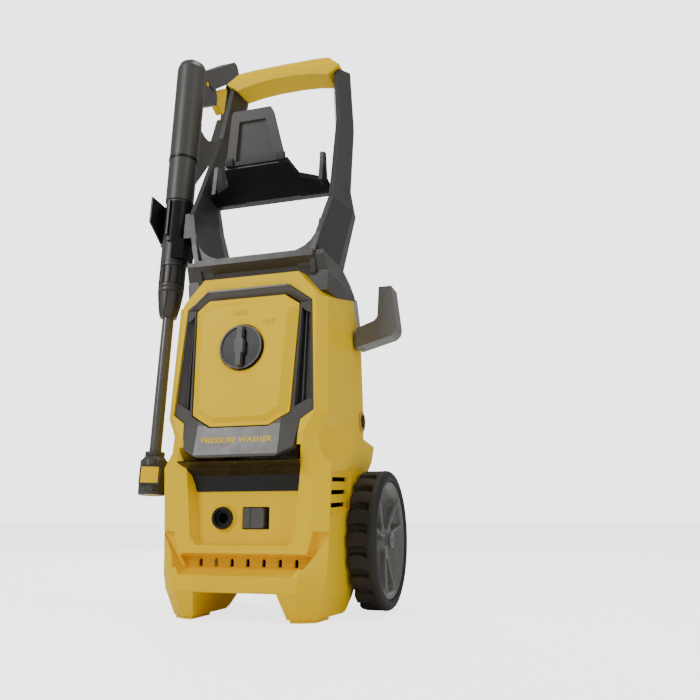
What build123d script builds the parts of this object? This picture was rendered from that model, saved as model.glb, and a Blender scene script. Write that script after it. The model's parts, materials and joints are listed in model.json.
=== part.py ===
"""Upright electric pressure washer on two wheels, built as an assembly of separate pieces.

Millimetres, +Z up, the front faces -Y, the machine's own right is +X.
"""

import os
from math import atan2, cos, degrees, radians, sin

from build123d import *

# ---------------------------------------------------------------- driving dimensions
WALL = 3.0
GAP = 0.4
BODY_TOP = 464.0
BODY_BOTTOM = 4.0

WHEEL_R = 99.0
WHEEL_Y = 51.0
WHEEL_INNER = 121.0
WHEEL_OUTER = 161.0
RIM_R = 84.0
AXLE_R = 8.0
RUNNING = 0.05

PANEL_LEAN = degrees(atan2(14.0, 194.0))
KNOB_Z = 355.0
KNOB_R = 31.0
PANEL_LIFT = 5.0

VENT_COUNT = 7
VENT_PITCH = 23.1

OUTLET_X = -34.0
OUTLET_Z = 129.0
OUTLET_R = 14.5
BAY_Y = -106.0
LOCK_SIZE = (30.0, 26.0)

INLET_Y = 46.0
INLET_Z = 272.0
INLET_R = 14.6

GLAND_X = 60.0
GLAND_Z = 118.0
SCREW_X = 95.0
SCREW_HEIGHTS = (150.0, 330.0)

HOOK_Y = 21.0
HOOK_Z = 393.0
HOOK_REACH = 182.5

GRIP_TOP = 872.0

GUN_X = -158.0
GUN_FOOT = (GUN_X, -84.2, 221.9)
GUN_LEAN = 4.12
BARREL_R = 20.2
SHOULDER_R = 22.0
UPPER_R = 24.3
GRIP_RISE = 43.0
LANCE_R = 8.6
FLANGE_R = 20.0
CLIP_INNER = 20.7
CLIP_OUTER = 24.5

MOTOR_Y = -12.0
MOTOR_Z = 300.0
MOTOR_R = 48.0
PUMP_TOP = 196.0
HEAD_TOP = PUMP_TOP - 46.0
HEAD_BOTTOM = 100.0
COVER_DEPTH = 22.0
PUMP_R = 44.0
PISTON_R = 6.0
PISTON_PITCH = 20.0
TREAD_COUNT = 20

os.makedirs("parts", exist_ok=True)


# ---------------------------------------------------------------- drawing helpers
def side_prism(points, x_from, x_to, mode=Mode.ADD):
    """Outline drawn in the side view (y, z), extruded between two x positions."""
    with BuildSketch(Plane.YZ.offset(x_from)) as profile:
        with BuildLine():
            Polyline(*points, close=True)
        make_face()
    extrude(profile.sketch, amount=x_to - x_from, mode=mode)


def front_prism(points, y_rear, y_front, mode=Mode.ADD):
    """Outline drawn in the front view (x, z), extruded between two y positions."""
    with BuildSketch(Plane.XZ.offset(-y_rear)) as profile:
        with BuildLine():
            Polyline(*points, close=True)
        make_face()
    extrude(profile.sketch, amount=y_rear - y_front, mode=mode)


def plan_prism(points, z_from, z_to, mode=Mode.ADD):
    """Outline drawn in plan (x, y), extruded between two heights."""
    with BuildSketch(Plane.XY.offset(z_from)) as profile:
        with BuildLine():
            Polyline(*points, close=True)
        make_face()
    extrude(profile.sketch, amount=z_to - z_from, mode=mode)


def both_sides(half):
    """Half outline on the +x side, closed by its mirror image."""
    return half + [(-x, z) for x, z in reversed(half)]


def box_between(low, high, mode=Mode.ADD):
    """Box given by its two opposite corners."""
    size = [abs(b - a) for a, b in zip(low, high)]
    with Locations(tuple((b + a) / 2 for a, b in zip(low, high))):
        Box(*size, mode=mode)


def rod_x(radius, x_from, x_to, y, z, mode=Mode.ADD):
    """Round bar along x."""
    with Locations(((x_from + x_to) / 2, y, z)):
        Cylinder(radius, abs(x_to - x_from), rotation=(0, 90, 0), mode=mode)


def rod_y(radius, y_from, y_to, x, z, mode=Mode.ADD):
    """Round bar along y."""
    with Locations((x, (y_from + y_to) / 2, z)):
        Cylinder(radius, abs(y_to - y_from), rotation=(90, 0, 0), mode=mode)


def rod_z(radius, z_from, z_to, x=0.0, y=0.0, mode=Mode.ADD):
    """Round bar along z."""
    with Locations((x, y, (z_from + z_to) / 2)):
        Cylinder(radius, abs(z_to - z_from), mode=mode)


def plan_face(z, front, corner, flank, rear, flank_end=60.0):
    """Level section of the body: front edge, front corner, flank and rear corner, mirrored."""
    half = [front, corner, (flank, -20.0), (flank - 1.0, flank_end), rear,
            (rear[0] - 14.0, rear[1] + 14.0)]
    with BuildSketch(Plane.XY.offset(z)) as level:
        with BuildLine():
            Polyline(*half, *[(-x, y) for x, y in reversed(half)], close=True)
        make_face()
    return level.sketch.faces()[0]


def save(part, name):
    """Writes one piece under its own name."""
    part.label = name
    export_step(part, f"parts/{name}.step")


# ---------------------------------------------------------------- body outline
def body_levels():
    """Outer skin of the body, from the sill up to the crown."""
    return [
        plan_face(BODY_BOTTOM, (80, -120), (101, -106), 110, (104, 70), 46),
        plan_face(38, (86, -139), (111, -116), 116, (108, 78), 50),
        plan_face(58, (88, -141), (116, -114), 117, (109, 80), 52),
        plan_face(88, (94, -121), (118, -112), 117, (110, 80), 54),
        plan_face(196, (101, -124), (122, -116), 117, (112, 86), 70),
        plan_face(216, (90, -137), (108, -121), 121, (116, 100), 84),
        plan_face(238, (90, -137), (106, -121), 122, (118, 106), 96),
        plan_face(248, (96, -135), (110, -119), 114, (106, 88), 62),
        plan_face(264, (104, -132), (118, -117), 116, (106, 86), 60),
        plan_face(425, (101, -120), (114, -108), 113, (103, 80), 52),
        plan_face(BODY_TOP, (99, -117), (111, -105), 110, (99, 76), 46),
    ]


def cavity_levels():
    """Inner skin of the body, one wall inside the outer skin and clear of the bay."""
    return [
        plan_face(41, (80, -130), (106, -108), 112, (104, 76), 47),
        plan_face(54, (84, -134), (111, -108), 112, (105, 77), 49),
        plan_face(63, (84, -94), (112, -92), 111, (105, 77), 49),
        plan_face(80, (84, -94), (114, -92), 111, (106, 77), 51),
        plan_face(92, (84, -100), (112, -100), 111, (106, 77), 51),
        plan_face(196, (84, -100), (114, -104), 111, (108, 83), 67),
        plan_face(216, (84, -112), (104, -112), 118, (112, 97), 81),
        plan_face(238, (86, -116), (102, -116), 119, (114, 103), 93),
        plan_face(248, (92, -118), (106, -115), 111, (102, 85), 59),
        plan_face(264, (98, -120), (114, -113), 113, (102, 83), 57),
        plan_face(425, (97, -116), (110, -105), 110, (99, 77), 49),
        plan_face(BODY_TOP - WALL, (96, -113), (108, -102), 107, (96, 73), 43),
    ]


SHELL_JOINT = [(20, 446), (38, 420), (62, 360), (70, 291), (70, 254), (104, 243), (104, 232)]
SHELL_JOINT += [(90, 219), (78, 196), (70, 156), (54, 99), (44, 62)]
UNDERSIDE = [(-50, -5), (-14, 8), (4, 24), (16, 44), (44, 62), (60, 72), (130, 76)]
UNDERCUT = both_sides([(57.8, 36.2), (68.2, -5.0)])
BAY_FRONT = both_sides([(92, 222), (90, 200), (84, 106), (72, 91)])
BAY_REAR = both_sides([(79, 222), (78.5, 195), (70, 104), (63, 96)])

BEZEL_EDGE = both_sides([(60.7, 444.3), (94.3, 419.8), (102.1, 267.9), (84.2, 255.4),
                         (79.0, 218.6), (56.1, 207.0)])
PANEL_EDGE = both_sides([(57.1, 428.7), (77.7, 415.4), (70.7, 265.3), (42.5, 248.6)])
PANEL_FACE = both_sides([(48.0, 417.0), (64.0, 405.0), (58.0, 273.0), (37.0, 260.0)])
BEZEL_EYE = both_sides([(58.4, 431.0), (79.8, 417.0), (72.6, 264.0), (43.2, 246.6)])
BEZEL_FRONT = [(-126.0, 446.0), (-140.0, 250.0), (-150.0, 210.0), (-146.0, 204.0)]


def crowned_slab(recess, rear_y, lip=0.0):
    """Slab with the bezel's leaning front, flat in the middle and falling back to both sides."""
    faces = []
    for x, fall in ((-106, 11.0), (-60, 0.0), (60, 0.0), (106, 11.0)):
        with BuildSketch(Plane.YZ.offset(x)) as level:
            with BuildLine():
                front = [(y + fall + recess, z) for y, z in BEZEL_FRONT]
                Polyline(*front, (rear_y, 204.0 - lip), (rear_y, 446.0), close=True)
            make_face()
        faces.append(level.sketch.faces()[0])
    loft(faces, ruled=True)


def crown_trim():
    """Slanted planes that take the crown's two front corners off."""
    for side in (-1, 1):
        with BuildSketch(Plane.XZ.offset(150)) as front:
            with BuildLine():
                Polyline((side * 66.0, 463.0), (side * 103.0, 420.6), (side * 140.0, 420.6),
                         (side * 140.0, 500.0), (side * 66.0, 500.0), close=True)
            make_face()
        with BuildSketch(Plane.XZ.offset(-60)) as back:
            with BuildLine():
                Polyline((side * 112.0, 463.0), (side * 124.0, 449.0), (side * 140.0, 449.0),
                         (side * 140.0, 500.0), (side * 112.0, 500.0), close=True)
            make_face()
        loft([front.sketch.faces()[0], back.sketch.faces()[0]], ruled=True)


with BuildPart() as body_skin:
    loft(body_levels(), ruled=True)

with BuildPart() as crown_corners:
    crown_trim()

with BuildPart() as body_cavity:
    loft(cavity_levels(), ruled=True)
    add(crown_corners.part.moved(Location((0, 0, -4.5))), mode=Mode.SUBTRACT)

with BuildPart() as rear_side:
    side_prism([(160, 500), (20, 500)] + SHELL_JOINT + [(52, -20), (160, -20)], -160, 160)

with BuildPart() as bay_void:
    with BuildSketch(Plane.XZ.offset(151)) as bay_mouth:
        with BuildLine():
            Polyline(*BAY_FRONT, close=True)
        make_face()
    with BuildSketch(Plane.XZ.offset(-BAY_Y)) as bay_back:
        with BuildLine():
            Polyline(*BAY_REAR, close=True)
        make_face()
    loft([bay_mouth.sketch.faces()[0], bay_back.sketch.faces()[0]], ruled=True)

with BuildPart() as vent_groove:
    side_prism([(-170, 84), (-119, 84), (-98, 77), (-98, 66), (-142, 57), (-170, 57)], -100, 100)
    front_prism(both_sides([(100, 88), (78, 55)]), -60, -180, mode=Mode.INTERSECT)
    for side in (-1, 1):
        front_prism([(side * 86, 66), (side * 92, 66), (side * 121, 112), (side * 99, 112)],
                    -109, -150)


# ---------------------------------------------------------------- outer shells
def body_shell():
    """Hollow body before it is divided, with the tunnel, tail and axle holes cut."""
    add(body_skin.part)
    add(body_cavity.part, mode=Mode.SUBTRACT)
    add(crown_corners.part, mode=Mode.SUBTRACT)
    front_prism(UNDERCUT, 130, -180, mode=Mode.SUBTRACT)
    side_prism(UNDERSIDE + [(130, -5)], -160, 160, mode=Mode.SUBTRACT)
    rod_x(11.0, -130, 130, WHEEL_Y, WHEEL_R, mode=Mode.SUBTRACT)


def louvre(side):
    """Slanted recess with three slots on the flank, near the front corner."""
    recess = [(-108, 188), (-12, 196), (-24, 141), (-113, 131)]
    outer = 130.0
    side_prism(recess, side * 114.6, side * outer, mode=Mode.SUBTRACT)
    for z in (179.0, 162.0, 145.0):
        shift = (z - 141.0) * 0.22
        slot = [(-95 + shift / 2, z - 3), (-95 + shift / 2, z + 3),
                (-34 + shift, z + 6), (-34 + shift, z)]
        side_prism(slot, side * 90.0, side * outer, mode=Mode.SUBTRACT)


with BuildPart() as front_shell:
    body_shell()
    add(rear_side.part, mode=Mode.SUBTRACT)
    # pads under the front feet
    for side in (-1, 1):
        plan_prism([(side * 69, -118), (side * 80, -117), (side * 99, -105), (side * 103, -66),
                    (side * 69, -66)], 0, BODY_BOTTOM + 2)
    add(vent_groove.part, mode=Mode.SUBTRACT)
    add(bay_void.part, mode=Mode.SUBTRACT)
    # opening for the bezel
    front_prism(both_sides([(61.2, 445.4), (95.3, 420.6), (103.2, 267.3), (85.3, 254.8),
                            (80.1, 206.0)]), -60, -180, mode=Mode.SUBTRACT)
    for side in (-1, 1):
        louvre(side)
    # cooling slots along the groove
    first = -VENT_PITCH * (VENT_COUNT - 1) / 2
    for index in range(VENT_COUNT):
        x = first + index * VENT_PITCH
        box_between((x - 2.8, -110, 66), (x + 2.8, -80, 73.5), mode=Mode.SUBTRACT)
        rod_y(2.8, -110, -80, x, 73.5, mode=Mode.SUBTRACT)
    # outlet collar and lock window
    rod_y(OUTLET_R + 4.5, -100, BAY_Y - 1.5, OUTLET_X, OUTLET_Z)
    rod_y(OUTLET_R + GAP, -130, -90, OUTLET_X, OUTLET_Z, mode=Mode.SUBTRACT)
    box_between((-6, -130, OUTLET_Z - 14.5), (33, -90, OUTLET_Z + 14.5), mode=Mode.SUBTRACT)
    # inlet hole and hook seat in the right flank
    rod_x(INLET_R + GAP, 90, 130, INLET_Y, INLET_Z, mode=Mode.SUBTRACT)
    rod_x(9.0, 90, 130, HOOK_Y, HOOK_Z, mode=Mode.SUBTRACT)
    for side in (-1, 1):
        for z in SCREW_HEIGHTS:
            rod_y(7.0, 20, 40, side * SCREW_X, z)
            box_between((side * SCREW_X, 20, z - 5), (side * 113, 40, z + 5))
            rod_y(2.1, 18, 41, side * SCREW_X, z, mode=Mode.SUBTRACT)
save(front_shell.part, "front_shell")

with BuildPart() as rear_shell:
    body_shell()
    add(rear_side.part, mode=Mode.INTERSECT)
    # air outlet slots in the back wall
    for index in range(6):
        z = 140 + index * 12
        box_between((-45, 84, z), (45, 130, z + 5), mode=Mode.SUBTRACT)
    # opening for the mains cable gland
    rod_y(9.4, 70, 130, GLAND_X, GLAND_Z, mode=Mode.SUBTRACT)
    for side in (-1, 1):
        for z in SCREW_HEIGHTS:
            rod_y(7.0, 40.2, 99, side * SCREW_X, z)
            rod_y(2.7, 39, 100, side * SCREW_X, z, mode=Mode.SUBTRACT)
            rod_y(5.4, 56, 120, side * SCREW_X, z, mode=Mode.SUBTRACT)
    add(body_skin.part, mode=Mode.INTERSECT)
save(rear_shell.part, "rear_shell")

# ---------------------------------------------------------------- bezel, panel and bay
PANEL = Plane(origin=(0, -140.0 + (KNOB_Z - 250.0) * 14.0 / 196.0, KNOB_Z), x_dir=(1, 0, 0),
              z_dir=(0, -cos(radians(PANEL_LEAN)), sin(radians(PANEL_LEAN))))


def on_panel(outline, lift):
    """Front-view outline laid on the leaning panel plane, raised by the given lift."""
    with BuildSketch(PANEL.offset(lift)) as level:
        with BuildLine():
            Polyline(*[(x, (z - KNOB_Z) / cos(radians(PANEL_LEAN))) for x, z in outline],
                     close=True)
        make_face()
    return level.sketch.faces()[0]


with BuildPart() as bezel:
    crowned_slab(0.0, -112.0)
    front_prism(BEZEL_EDGE, -60, -180, mode=Mode.INTERSECT)
    front_prism(BEZEL_EYE, -60, -180, mode=Mode.SUBTRACT)
    for side in (-1, 1):
        for inner, outer in ((83.0, 87.0), (88.6, 92.6)):
            slot = [(side * inner, 404), (side * outer, 401), (side * (outer + 1.5), 282),
                    (side * (inner - 3.5), 276)]
            front_prism(slot, -114, -180, mode=Mode.SUBTRACT)
save(bezel.part, "bezel")

with BuildPart() as centre_panel:
    crowned_slab(1.0, -113.0)
    front_prism(PANEL_EDGE, -60, -180, mode=Mode.INTERSECT)
    loft([on_panel(PANEL_EDGE, -5.0), on_panel(PANEL_FACE, PANEL_LIFT)], ruled=True)
    with Locations(PANEL.offset(PANEL_LIFT)):
        Cylinder(KNOB_R + 2.2, 4.0, align=(Align.CENTER, Align.CENTER, Align.MAX),
                 mode=Mode.SUBTRACT)
    with Locations(PANEL):
        Cylinder(6.6, 80.0, mode=Mode.SUBTRACT)
save(centre_panel.part, "centre_panel")

with BuildPart() as switch_knob:
    with BuildSketch(PANEL.offset(1.6)) as disc:
        Circle(KNOB_R)
    extrude(disc.sketch, amount=6.4)
    with BuildSketch(PANEL.offset(8.0)) as rim_ring:
        Circle(KNOB_R)
        Circle(KNOB_R - 2.4, mode=Mode.SUBTRACT)
    extrude(rim_ring.sketch, amount=1.4)
    with BuildSketch(PANEL.offset(8.0)) as bar:
        RectangleRounded(9.0, 57.0, 3.0)
        RectangleRounded(14.0, 21.0, 2.5)
    extrude(bar.sketch, amount=7.6, taper=6)
    with BuildSketch(PANEL.offset(1.6)) as stem:
        Circle(6.0)
    extrude(stem.sketch, amount=-26.0)
save(switch_knob.part, "switch_knob")

with BuildPart() as mains_switch:
    with BuildSketch(PANEL.offset(-22.0)) as case:
        RectangleRounded(44.0, 36.0, 3.0)
    extrude(case.sketch, amount=-28.0)
    with Locations(PANEL):
        Cylinder(6.4, 56.0, mode=Mode.SUBTRACT)
    for x in (-12.0, 0.0, 12.0):
        with BuildSketch(PANEL.offset(-50.0)) as tab:
            with Locations((x, 0)):
                Rectangle(6.3, 0.8)
        extrude(tab.sketch, amount=-8.0)
save(mains_switch.part, "mains_switch")

TRAY_FACE = [(-143, 202), (-126, 195), (-114, 185), (-108.4, 173), (-107.0, 164)]

with BuildPart() as bay_tray:
    back = [(y + 2.2, z + 1.7) for y, z in reversed(TRAY_FACE)]
    side_prism(TRAY_FACE + back, -92, 92)
    front_prism(both_sides([(87.6, 222), (87.4, 196), (74.0, 163)]), -60, -180,
                mode=Mode.INTERSECT)
    add(bay_void.part, mode=Mode.INTERSECT)
save(bay_tray.part, "bay_tray")

with BuildPart() as outlet_connector:
    rod_y(OUTLET_R, BAY_Y + 20, BAY_Y - 6, OUTLET_X, OUTLET_Z)
    rod_y(10.8, BAY_Y - 1, BAY_Y - 8, OUTLET_X, OUTLET_Z, mode=Mode.SUBTRACT)
    rod_y(7.0, BAY_Y + 14, BAY_Y - 2, OUTLET_X, OUTLET_Z, mode=Mode.SUBTRACT)
    rod_y(3.0, BAY_Y + 30, BAY_Y, OUTLET_X, OUTLET_Z, mode=Mode.SUBTRACT)
save(outlet_connector.part, "outlet_connector")

with BuildPart() as lock_slider:
    with BuildSketch(Plane.XZ.offset(-BAY_Y - 7)) as button:
        with Locations((-4 + LOCK_SIZE[0] / 2, OUTLET_Z)):
            RectangleRounded(LOCK_SIZE[0], LOCK_SIZE[1], 4.0)
    extrude(button.sketch, amount=10.0)
    box_between((6, BAY_Y - 4.4, OUTLET_Z - 13.5), (9, BAY_Y - 2, OUTLET_Z + 13.5),
                mode=Mode.SUBTRACT)
    box_between((-2, -99.4, OUTLET_Z - 17), (24, -96.5, OUTLET_Z + 17))
save(lock_slider.part, "lock_slider")


# ---------------------------------------------------------------- handle
def wedge_level(z, side, centre, front, depth, half=15.5):
    """Level section of one handle leg: narrow at the front, wide at the back."""
    nose = 3.8
    points = [(centre - nose, front), (centre + nose, front),
              (centre + half, front + 0.7 * depth), (centre + half - 4, front + depth),
              (centre - half + 4, front + depth), (centre - half, front + 0.7 * depth)]
    with BuildSketch(Plane.XY.offset(z)) as level:
        with BuildLine():
            Polyline(*[(side * x, y) for x, y in points], close=True)
        make_face()
    return level.sketch.faces()[0]


def corner_arc(centre_x, centre_z, radius, steps=6):
    """Quarter arc from straight down to straight right, as points."""
    angles = [radians(90.0 * i / steps) for i in range(steps + 1)]
    return [(centre_x + radius * sin(a), centre_z - radius * cos(a)) for a in angles]


with BuildPart() as shoulders:
    # shoulders that fill the crown's cut corners
    for side in (-1, 1):
        front_prism([(side * 66, 440), (side * 108, 440), (side * 110, 466), (side * 106, 496),
                     (side * 66, 496)], 46, -110)
    side_prism([(-97, 430), (-97, 470), (-109, 490), (-109, 496), (-20, 494), (10, 480),
                (40, 456), (44, 430)], -120, 120, mode=Mode.INTERSECT)

with BuildPart() as handle_frame:
    for side in (-1, 1):
        loft([wedge_level(466, side, 88, -100, 110, 16), wedge_level(494, side, 90, -112, 108),
              wedge_level(523, side, 97.5, -108, 102), wedge_level(580, side, 112, -95, 86),
              wedge_level(614, side, 110, -80, 52), wedge_level(740, side, 102, -31, 46),
              wedge_level(862, side, 90, -10, 40)], ruled=True)
        gusset = [(side * x, z) for x, z in corner_arc(52, 546, 46) + [(98, 490), (52, 490)]]
        front_prism(gusset, -24, -104)
    side_prism([(-113, 488), (-113, 497), (-104, 501), (-8, 501), (40, 466), (40, 458),
                (-96, 458), (-100, 478)], -92, 92)
    add(shoulders.part)
    add(body_skin.part - crown_corners.part, mode=Mode.SUBTRACT)
    # mitre under the grip
    for side in (-1, 1):
        front_prism([(side * 55, 811.1), (side * 116, 855.8), (side * 116, 900),
                     (side * 55, 900)], 60, -60, mode=Mode.SUBTRACT)
save(handle_frame.part, "handle_frame")

with BuildPart() as handle_grip:
    front_prism(both_sides([(24, GRIP_TOP), (50, GRIP_TOP - 1), (76, GRIP_TOP - 6), (99.5, 844),
                            (80, 829.6), (52, 836), (20, 839)]), 60, -60)
    side_prism([(-20, 824), (-22, 846), (-18, 862), (-8, GRIP_TOP), (12, GRIP_TOP), (24, 861),
                (27, 844), (20, 824)], -110, 110, mode=Mode.INTERSECT)
save(handle_grip.part, "handle_grip")

HANGER_FLOOR = [(-111, 637), (-111, 644), (-46, 618), (-34, 618), (-34, 610), (-48, 611)]

with BuildPart() as tongue_pocket:
    side_prism([(-109.6, 646), (-124, 646), (-140, 705), (-122.6, 705)], -60, 60)
    front_prism(both_sides([(21, 703), (34, 630)]), -60, -180, mode=Mode.INTERSECT)

with BuildPart() as hanger_tongue:
    # upright tongue with a thinner web in its window and a turned lip under each leg
    side_prism([(-107, 640), (-114, 640), (-130, 719), (-123, 719)], -60, 60)
    front_prism(both_sides([(30, 719), (33, 713), (48, 636)]), -60, -180, mode=Mode.INTERSECT)
    add(tongue_pocket.part, mode=Mode.SUBTRACT)
    for side in (-1, 1):
        side_prism([(-108, 639), (-117, 640), (-120, 645), (-118, 651), (-110, 653)],
                   side * 34.5, side * 46.5)

with BuildPart() as hose_hanger:
    # floor that carries the coiled hose
    side_prism(HANGER_FLOOR, -100, 100)
    plan_prism(both_sides([(50, -112), (58, -82), (96, -66), (98, -34)]), 600, 660,
               mode=Mode.INTERSECT)
    add(hanger_tongue.part)
    for side in (-1, 1):
        front_prism([(side * 46, 636), (side * 56, 636), (side * 99, 622), (side * 99, 610),
                     (side * 46, 610)], -34, -46)
        side_prism([(-74, 620), (-68, 668), (-56, 671), (-46, 612)], side * 85, side * 91)
    add(handle_frame.part, mode=Mode.SUBTRACT)
save(hose_hanger.part, "hose_hanger")

# ---------------------------------------------------------------- wheels and axle
def wheel(side, name_end):
    """Tyre, rim and hub cap of one wheel; the side is +1 for the right and -1 for the left."""
    with BuildPart() as tyre:
        rod_x(WHEEL_R - 4, side * (WHEEL_INNER + 1), side * (WHEEL_OUTER - 1), WHEEL_Y, WHEEL_R)
        with Locations(Location((side * WHEEL_INNER, WHEEL_Y, WHEEL_R), (0, 90 * side, 0))):
            with PolarLocations(WHEEL_R - 8, TREAD_COUNT):
                Box(16, 20, WHEEL_OUTER - WHEEL_INNER,
                    align=(Align.CENTER, Align.CENTER, Align.MIN))
        rod_x(WHEEL_R, side * WHEEL_INNER, side * WHEEL_OUTER, WHEEL_Y, WHEEL_R,
              mode=Mode.INTERSECT)
        rod_x(RIM_R, side * 110, side * 170, WHEEL_Y, WHEEL_R, mode=Mode.SUBTRACT)
    save(tyre.part, f"tyre_{name_end}")

    with BuildPart() as rim:
        rod_x(RIM_R - 0.05, side * 124, side * 158, WHEEL_Y, WHEEL_R)
        rod_x(RIM_R - 6, side * 150, side * 160, WHEEL_Y, WHEEL_R, mode=Mode.SUBTRACT)
        rod_x(RIM_R - 6, side * 120, side * 143, WHEEL_Y, WHEEL_R, mode=Mode.SUBTRACT)
        with Locations(Location((side * 150, WHEEL_Y, WHEEL_R), (0, 90 * side, 0))):
            with PolarLocations(50, 6, start_angle=30):
                Cylinder(16, 30, mode=Mode.SUBTRACT)
        rod_x(22, side * 121.4, side * 157.6, WHEEL_Y, WHEEL_R)
        rod_x(AXLE_R + RUNNING, side * 110, side * 170, WHEEL_Y, WHEEL_R, mode=Mode.SUBTRACT)
    save(rim.part, f"rim_{name_end}")

    with BuildPart() as hub_cap:
        rod_x(19.0, side * 157.6, side * WHEEL_OUTER, WHEEL_Y, WHEEL_R)
        rod_x(AXLE_R + 1.0, side * 157.0, side * 158.8, WHEEL_Y, WHEEL_R, mode=Mode.SUBTRACT)
    save(hub_cap.part, f"hub_cap_{name_end}")


wheel(-1, "left")
wheel(1, "right")

with BuildPart() as axle:
    rod_x(AXLE_R, -158.4, 158.4, WHEEL_Y, WHEEL_R)
save(axle.part, "axle")

with BuildPart() as chassis:
    side_prism([(-84, 42), (6, 42), (39, 65), (58, 76), (72, 79), (72, 83), (56, 80), (36, 69.5),
                (4, 47), (-84, 47)], -96, 96)
    rod_x(14.0, -105, 105, WHEEL_Y, WHEEL_R)
    for side in (-1, 1):
        side_prism([(34, 68), (34, 99), (40, 108), (60, 108), (66, 99), (66, 80)],
                   side * 84, side * 92)
        box_between((side * 28, -42, 46), (side * 36, 0, HEAD_BOTTOM - COVER_DEPTH))
    rod_x(AXLE_R, -110, 110, WHEEL_Y, WHEEL_R, mode=Mode.SUBTRACT)
save(chassis.part, "chassis")

# ---------------------------------------------------------------- motor and pump
MOTOR_LOW = MOTOR_Z - 86.0
MOTOR_HIGH = MOTOR_Z + 88.0

with BuildPart() as motor_housing:
    rod_z(MOTOR_R + 6, MOTOR_LOW, MOTOR_HIGH, 0, MOTOR_Y)
    rod_z(MOTOR_R + 2, MOTOR_LOW + 6, MOTOR_HIGH - 6, 0, MOTOR_Y, mode=Mode.SUBTRACT)
    rod_z(10.0, MOTOR_LOW - 2, MOTOR_HIGH + 2, 0, MOTOR_Y, mode=Mode.SUBTRACT)
    with Locations((0, MOTOR_Y, MOTOR_HIGH)):
        with PolarLocations(32, 8):
            Cylinder(7, 20, mode=Mode.SUBTRACT)
save(motor_housing.part, "motor_housing")

with BuildPart() as motor_stator:
    rod_z(MOTOR_R + 2, MOTOR_Z - 50, MOTOR_Z + 50, 0, MOTOR_Y)
    rod_z(30.0, MOTOR_Z - 60, MOTOR_Z + 60, 0, MOTOR_Y, mode=Mode.SUBTRACT)
    with Locations((0, MOTOR_Y, MOTOR_Z)):
        with PolarLocations(36, 12):
            Cylinder(4.5, 120, mode=Mode.SUBTRACT)
save(motor_stator.part, "motor_stator")

with BuildPart() as stator_windings:
    with Locations((0, MOTOR_Y, MOTOR_Z)):
        with PolarLocations(36, 12):
            Cylinder(4.4, 124)
    for side in (-1, 1):
        rod_z(44.0, MOTOR_Z + side * 51, MOTOR_Z + side * 66, 0, MOTOR_Y)
    rod_z(31.0, MOTOR_Z - 80, MOTOR_Z + 80, 0, MOTOR_Y, mode=Mode.SUBTRACT)
save(stator_windings.part, "stator_windings")

with BuildPart() as rotor:
    rod_z(29.4, MOTOR_Z - 49, MOTOR_Z + 49, 0, MOTOR_Y)
    rod_z(24.0, MOTOR_Z - 57, MOTOR_Z + 57, 0, MOTOR_Y)
    rod_z(8.0, MOTOR_Z - 80, MOTOR_Z + 80, 0, MOTOR_Y, mode=Mode.SUBTRACT)
save(rotor.part, "rotor")

with BuildPart() as rotor_shaft:
    rod_z(8.0, PUMP_TOP - 26, MOTOR_HIGH + 24, 0, MOTOR_Y)
save(rotor_shaft.part, "rotor_shaft")

with BuildPart() as cooling_fan:
    rod_z(14.0, MOTOR_HIGH + 3, MOTOR_HIGH + 20, 0, MOTOR_Y)
    rod_z(46.0, MOTOR_HIGH + 3, MOTOR_HIGH + 5.5, 0, MOTOR_Y)
    with Locations((0, MOTOR_Y, MOTOR_HIGH + 3)):
        with PolarLocations(28, 9):
            Box(36, 2.2, 16, rotation=(0, 0, 18), align=(Align.CENTER, Align.CENTER, Align.MIN))
    rod_z(8.0, MOTOR_HIGH, MOTOR_HIGH + 30, 0, MOTOR_Y, mode=Mode.SUBTRACT)
save(cooling_fan.part, "cooling_fan")

with BuildPart() as swash_plate:
    with Locations(Location((0, MOTOR_Y, PUMP_TOP - 16), (7, 0, 0))):
        Cylinder(30.0, 9.0)
    rod_z(13.0, PUMP_TOP - 16, PUMP_TOP - 2, 0, MOTOR_Y)
    rod_z(8.0, PUMP_TOP - 40, PUMP_TOP, 0, MOTOR_Y, mode=Mode.SUBTRACT)
save(swash_plate.part, "swash_plate")

with BuildPart() as gear_case:
    rod_z(PUMP_R, PUMP_TOP - 46, MOTOR_LOW, 0, MOTOR_Y)
    rod_z(36.0, PUMP_TOP - 46, PUMP_TOP, 0, MOTOR_Y, mode=Mode.SUBTRACT)
    rod_z(12.0, PUMP_TOP - 10, MOTOR_LOW + 2, 0, MOTOR_Y, mode=Mode.SUBTRACT)
save(gear_case.part, "gear_case")

with BuildPart() as pump_head:
    rod_z(PUMP_R, HEAD_BOTTOM, HEAD_TOP, 0, MOTOR_Y)
    box_between((OUTLET_X - 11, -62, OUTLET_Z - 12), (OUTLET_X + 11, -20, OUTLET_Z + 12))
    box_between((20, MOTOR_Y - 12, 116), (52, MOTOR_Y + 12, 140))
    with Locations((0, MOTOR_Y, HEAD_TOP)):
        with PolarLocations(PISTON_PITCH, 3):
            Cylinder(PISTON_R + RUNNING, 2 * (HEAD_TOP - HEAD_BOTTOM - 12), mode=Mode.SUBTRACT)
    rod_y(3.0, -64, -40, OUTLET_X, OUTLET_Z, mode=Mode.SUBTRACT)
    rod_x(4.5, 36, 60, MOTOR_Y, 128, mode=Mode.SUBTRACT)
save(pump_head.part, "pump_head")

with BuildPart() as pistons:
    with Locations((0, MOTOR_Y, HEAD_BOTTOM + 20)):
        with PolarLocations(PISTON_PITCH, 3):
            Cylinder(PISTON_R, HEAD_TOP - HEAD_BOTTOM - 2,
                     align=(Align.CENTER, Align.CENTER, Align.MIN))
save(pistons.part, "pistons")

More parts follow.
